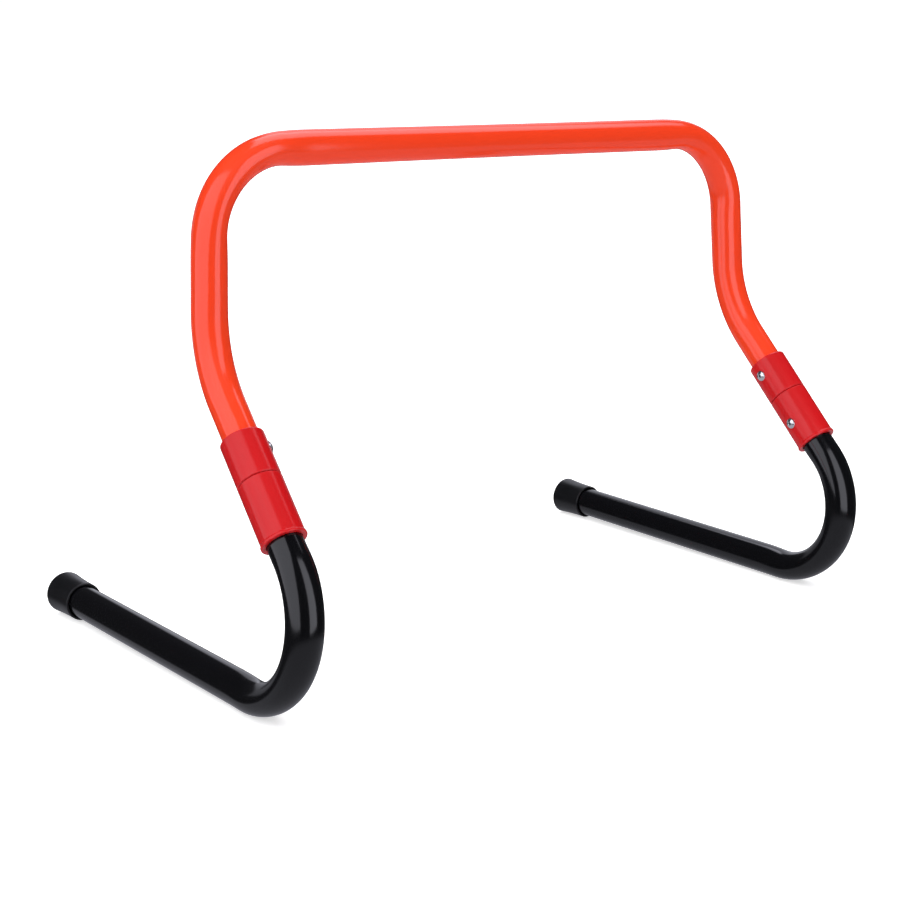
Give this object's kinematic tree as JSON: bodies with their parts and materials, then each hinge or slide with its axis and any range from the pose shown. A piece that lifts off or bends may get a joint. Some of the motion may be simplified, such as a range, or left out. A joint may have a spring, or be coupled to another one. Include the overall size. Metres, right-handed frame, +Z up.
{
  "type": "agility hurdle",
  "caption": "Low agility hurdle: a bent plastic hoop with a straight bar, standing on hooked feet that turn in riveted sockets to set the bar height.",
  "frame": {"origin": "on the floor, under the middle of the hurdle's outline", "axes": "+Z up, +X to the right along the bar, +Y towards the rear, the way the feet run back"},
  "size_m": [0.5568, 0.347, 0.3811],
  "materials": {
    "hoop_plastic": "high gloss, orange",
    "socket_plastic": "satin gloss, red",
    "foot_plastic": "high gloss, black",
    "cap_rubber": "matte, black",
    "rivet_aluminium": "bright, as pressed",
    "plated_steel": "satin, zinc plated",
    "nylon": "matte, natural nylon"
  },
  "bodies": {
    "frame": {"hoop_tube": "hoop_plastic", "left_upper_socket": "socket_plastic", "left_upper_rivet": "rivet_aluminium", "left_upper_rivet_mandrel": "plated_steel", "left_pivot_bolt": "plated_steel", "left_friction_washer": "nylon", "left_thrust_washer": "plated_steel", "left_disc_springs": "plated_steel", "left_lock_nut": "plated_steel", "right_upper_socket": "socket_plastic", "right_upper_rivet": "rivet_aluminium", "right_upper_rivet_mandrel": "plated_steel", "right_pivot_bolt": "plated_steel", "right_friction_washer": "nylon", "right_thrust_washer": "plated_steel", "right_disc_springs": "plated_steel", "right_lock_nut": "plated_steel"},
    "left_foot": {"left_lower_socket": "socket_plastic", "left_foot_tube": "foot_plastic", "left_foot_cap": "cap_rubber", "left_lower_rivet": "rivet_aluminium", "left_lower_rivet_mandrel": "plated_steel"},
    "right_foot": {"right_lower_socket": "socket_plastic", "right_foot_tube": "foot_plastic", "right_foot_cap": "cap_rubber", "right_lower_rivet": "rivet_aluminium", "right_lower_rivet_mandrel": "plated_steel"}
  },
  "joints": [
    {"name": "left_swivel", "type": "hinge", "parent": "frame", "child": "left_foot", "pos_m": [-0.25608, -0.10354, 0.1586], "axis": [0.0385, 0.6908, 0.722], "range_deg": [0, 180]},
    {"name": "right_swivel", "type": "hinge", "parent": "frame", "child": "right_foot", "pos_m": [0.25608, -0.10354, 0.1586], "axis": [0.0385, -0.6908, -0.722], "range_deg": [0, 180]}
  ]
}
